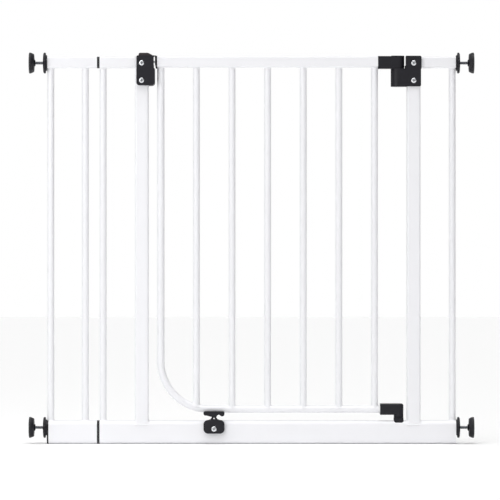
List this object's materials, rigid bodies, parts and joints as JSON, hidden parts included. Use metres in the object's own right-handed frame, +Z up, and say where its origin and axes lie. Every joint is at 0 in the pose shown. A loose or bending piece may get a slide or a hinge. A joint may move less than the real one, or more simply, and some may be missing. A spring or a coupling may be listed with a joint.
{
  "type": "safety gate",
  "caption": "White steel pressure-fit safety gate with a barred swing door, thumb latch, turning door stop, extension panel and screw pads at its corners.",
  "frame": {"origin": "on the floor, half way between the outer faces of the wall pads and in the middle of the base rail's depth", "axes": "+X along the gate towards the hinge side, +Y to the side the door opens to, +Z up"},
  "size_m": [0.8498, 0.0425, 0.7473],
  "materials": {
    "white_steel": "white powder coat, semi-gloss",
    "black_plastic": "moulded, fine grain",
    "thumb_plastic": "moulded, fine grain",
    "white_plastic": "moulded, smooth",
    "black_rubber": "moulded rubber",
    "rubber": "moulded rubber",
    "zinc_steel": "bright zinc plate",
    "spring_steel": "drawn wire"
  },
  "bodies": {
    "frame": {"base_rail": "white_steel", "left_outer_bar": "white_steel", "left_post": "white_steel", "right_post": "white_steel", "right_outer_bar": "white_steel", "left_top_rail": "white_steel", "right_top_rail": "white_steel", "extension_base_rail": "white_steel", "extension_top_rail": "white_steel", "extension_outer_bar": "white_steel", "extension_inner_bar": "white_steel", "joint_spacers": "black_rubber", "joint_bushes": "black_plastic", "joint_studs": "zinc_steel", "post_plugs": "white_plastic", "left_end_cap": "black_plastic", "right_end_cap": "white_plastic", "spindle_bushes": "black_plastic", "latch_housing_front": "black_plastic", "latch_housing_back": "black_plastic", "latch_screws": "zinc_steel", "latch_spring": "spring_steel", "hinge_bracket": "black_plastic", "hinge_bracket_back": "black_plastic", "hinge_screws": "zinc_steel", "clamp_nuts": "zinc_steel", "lower_hinge_foot": "black_plastic", "stop_block": "black_plastic", "stop_screw": "zinc_steel"},
    "latch_slide": {"latch_slide": "thumb_plastic"},
    "hinge_pins": {"hinge_pins": "zinc_steel"},
    "door": {"door_top_rail": "white_steel", "door_bent_tube": "white_steel", "door_bar_1": "white_steel", "door_bar_2": "white_steel", "door_bar_3": "white_steel", "door_bar_4": "white_steel", "door_bar_5": "white_steel", "door_bar_6": "white_steel", "door_latch_cap": "black_plastic", "door_latch_nose": "zinc_steel", "upper_hinge_arm": "black_plastic", "lower_hinge_elbow": "black_plastic"},
    "door_stop": {"stop_lever": "black_plastic"},
    "left_upper_spindle": {"left_upper_rod": "zinc_steel", "left_upper_pad_cup": "black_plastic", "left_upper_pad_face": "rubber"},
    "left_upper_knob": {"left_upper_knob": "black_plastic"},
    "left_lower_spindle": {"left_lower_rod": "zinc_steel", "left_lower_pad_cup": "black_plastic", "left_lower_pad_face": "rubber"},
    "left_lower_knob": {"left_lower_knob": "black_plastic"},
    "right_upper_spindle": {"right_upper_rod": "zinc_steel", "right_upper_pad_cup": "black_plastic", "right_upper_pad_face": "rubber"},
    "right_upper_knob": {"right_upper_knob": "black_plastic"},
    "right_lower_spindle": {"right_lower_rod": "zinc_steel", "right_lower_pad_cup": "black_plastic", "right_lower_pad_face": "rubber"},
    "right_lower_knob": {"right_lower_knob": "black_plastic"}
  },
  "joints": [
    {"name": "door_lift", "type": "slide", "parent": "frame", "child": "hinge_pins", "axis": [0, 0, 1], "range_m": [0, 0.006]},
    {"name": "door_swing", "type": "hinge", "parent": "hinge_pins", "child": "door", "pos_m": [0.281, 0, 0.06], "axis": [0, 0, -1], "range_deg": [0, 90]},
    {"name": "latch_slide", "type": "slide", "parent": "frame", "child": "latch_slide", "axis": [-1, 0, 0], "range_m": [0, 0.0055], "stiffness_N_per_m": 300, "springref_m": -0.004, "deforming": ["latch_spring"]},
    {"name": "stop_turn", "type": "hinge", "parent": "frame", "child": "door_stop", "pos_m": [-0.0715, -0.018, 0.029], "axis": [0, 1, 0], "range_deg": [-90, 90]},
    {"name": "left_upper_knob_turn", "type": "hinge", "parent": "frame", "child": "left_upper_knob", "pos_m": [-0.395, 0, 0.72725], "axis": [1, 0, 0], "range_deg": [-3600, 7200]},
    {"name": "left_upper_spindle_slide", "type": "slide", "parent": "frame", "child": "left_upper_spindle", "axis": [-1, 0, 0], "range_m": [-0.01, 0.02]},
    {"name": "left_lower_knob_turn", "type": "hinge", "parent": "frame", "child": "left_lower_knob", "pos_m": [-0.395, 0, 0.031], "axis": [1, 0, 0], "range_deg": [-3600, 7200]},
    {"name": "left_lower_spindle_slide", "type": "slide", "parent": "frame", "child": "left_lower_spindle", "axis": [-1, 0, 0], "range_m": [-0.01, 0.02]},
    {"name": "right_upper_knob_turn", "type": "hinge", "parent": "frame", "child": "right_upper_knob", "pos_m": [0.395, 0, 0.72725], "axis": [-1, 0, 0], "range_deg": [-3600, 7200]},
    {"name": "right_upper_spindle_slide", "type": "slide", "parent": "frame", "child": "right_upper_spindle", "axis": [1, 0, 0], "range_m": [-0.01, 0.02]},
    {"name": "right_lower_knob_turn", "type": "hinge", "parent": "frame", "child": "right_lower_knob", "pos_m": [0.395, 0, 0.031], "axis": [-1, 0, 0], "range_deg": [-3600, 7200]},
    {"name": "right_lower_spindle_slide", "type": "slide", "parent": "frame", "child": "right_lower_spindle", "axis": [1, 0, 0], "range_m": [-0.01, 0.02]}
  ],
  "couplings": [
    {"joint": "left_upper_spindle_slide", "follows": "left_upper_knob_turn", "m_per_rad": 0.00015915},
    {"joint": "left_lower_spindle_slide", "follows": "left_lower_knob_turn", "m_per_rad": 0.00015915},
    {"joint": "right_upper_spindle_slide", "follows": "right_upper_knob_turn", "m_per_rad": 0.00015915},
    {"joint": "right_lower_spindle_slide", "follows": "right_lower_knob_turn", "m_per_rad": 0.00015915}
  ]
}
